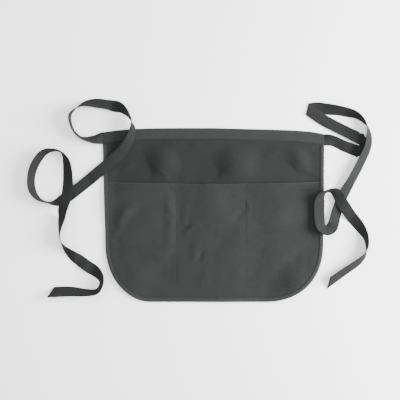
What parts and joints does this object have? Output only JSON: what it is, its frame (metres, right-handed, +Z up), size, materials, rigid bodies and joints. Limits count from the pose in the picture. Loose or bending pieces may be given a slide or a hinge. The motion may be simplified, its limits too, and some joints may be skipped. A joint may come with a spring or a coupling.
{
  "type": "waist apron",
  "caption": "Short waist apron lying flat, with a round-cornered cloth panel, a divided front pocket, bound edges, a waistband and long loose ties.",
  "frame": {"origin": "middle of the waistband's underside, on the table", "axes": "+X along the waistband towards the right tie, +Y from the apron's body to the waistband, +Z up from the table"},
  "size_m": [0.7573, 0.4472, 0.0339],
  "materials": {
    "panel_cloth": "plain twill, matt",
    "pocket_cloth": "plain twill, matt",
    "edge_tape": "woven tape, matt",
    "waist_tape": "woven tape, matt",
    "tie_tape": "woven tape, matt"
  },
  "bodies": {
    "root": {"panel": "panel_cloth", "pocket": "pocket_cloth", "binding": "edge_tape", "waistband": "waist_tape", "tie_left": "tie_tape", "tie_right": "tie_tape"}
  },
  "joints": []
}
